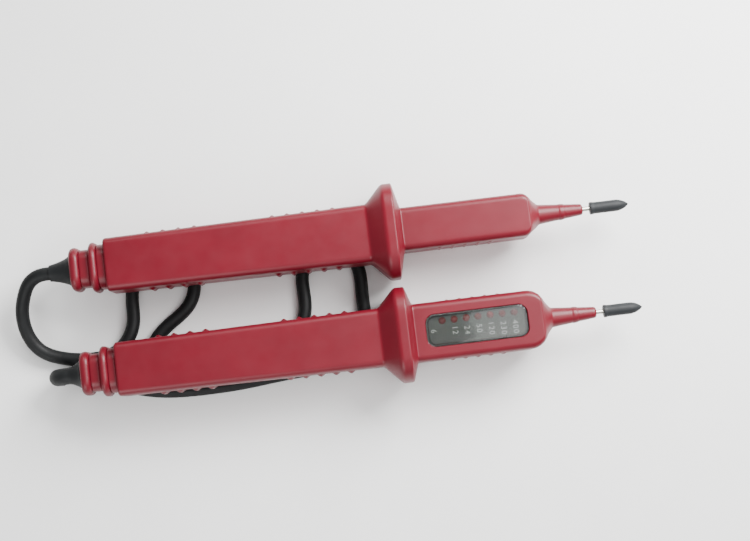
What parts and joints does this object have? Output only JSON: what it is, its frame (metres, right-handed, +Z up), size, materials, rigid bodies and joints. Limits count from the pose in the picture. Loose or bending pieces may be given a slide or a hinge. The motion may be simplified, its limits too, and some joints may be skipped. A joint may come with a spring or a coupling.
{
  "type": "two-pole voltage tester",
  "caption": "Two-pole voltage tester: a display handle with a row of indicator lamps and a plain handle, joined by a flexible lead, with capped test pins.",
  "frame": {"origin": "on the supporting surface, under the middle of the pair of handles (bottom centre of their box without the free lead)", "axes": "+X along both handles towards the test tips, +Y from the display handle towards the plain handle, +Z up out of the display"},
  "size_m": [0.2764, 0.0878, 0.036],
  "materials": {
    "red_shell": "satin moulded red plastic",
    "smoked_window": "smoked clear plastic",
    "scale_plate": "matt dark grey",
    "lamp_lens": "tinted red resin, unlit",
    "board": "green solder mask",
    "resistor": "lacquered",
    "series_resistor": "lacquered",
    "chip": "matt",
    "capacitor": "sleeved",
    "pin_metal": "nickel-plated brass",
    "inner_wire": "insulated wire",
    "boot_rubber": "satin black",
    "lead_jacket": "satin black cable jacket",
    "clamp_plastic": "matt",
    "screw_steel": "zinc-plated",
    "cap_plastic": "soft satin black"
  },
  "bodies": {
    "tester": {"tester_front_shell": "red_shell", "tester_back_shell": "red_shell", "display_window": "smoked_window", "scale_plate": "scale_plate", "indicator_lamps": "lamp_lens", "circuit_board": "board", "board_resistors": "resistor", "board_chip": "chip", "board_capacitor": "capacitor", "tester_pin": "pin_metal", "tester_pin_wire": "inner_wire", "tester_lead_boot": "boot_rubber", "tester_lead_clamp": "clamp_plastic", "tester_lead_end": "lead_jacket", "tester_core_wire": "inner_wire", "tester_screws": "screw_steel", "lead_run": "lead_jacket", "lead_bend": "lead_jacket"},
    "probe": {"probe_front_shell": "red_shell", "probe_back_shell": "red_shell", "resistor_board": "board", "series_resistors": "series_resistor", "probe_pin": "pin_metal", "probe_pin_wire": "inner_wire", "probe_lead_boot": "boot_rubber", "probe_lead_clamp": "clamp_plastic", "probe_lead_end": "lead_jacket", "probe_core_wire": "inner_wire", "probe_screws": "screw_steel"},
    "tester_tip_cap": {"tester_cap": "cap_plastic"},
    "probe_tip_cap": {"probe_cap": "cap_plastic"}
  },
  "joints": [
    {"name": "probe_swing", "type": "hinge", "parent": "tester", "child": "probe", "pos_m": [-0.146, 0.003, 0.018], "axis": [0, 0, 1], "range_deg": [0, 90], "deforming": ["lead_bend"]},
    {"name": "tester_cap_slide", "type": "slide", "parent": "tester", "child": "tester_tip_cap", "axis": [1, 0, 0], "range_m": [0, 0.025]},
    {"name": "probe_cap_slide", "type": "slide", "parent": "probe", "child": "probe_tip_cap", "axis": [1, 0, 0], "range_m": [0, 0.025]}
  ]
}
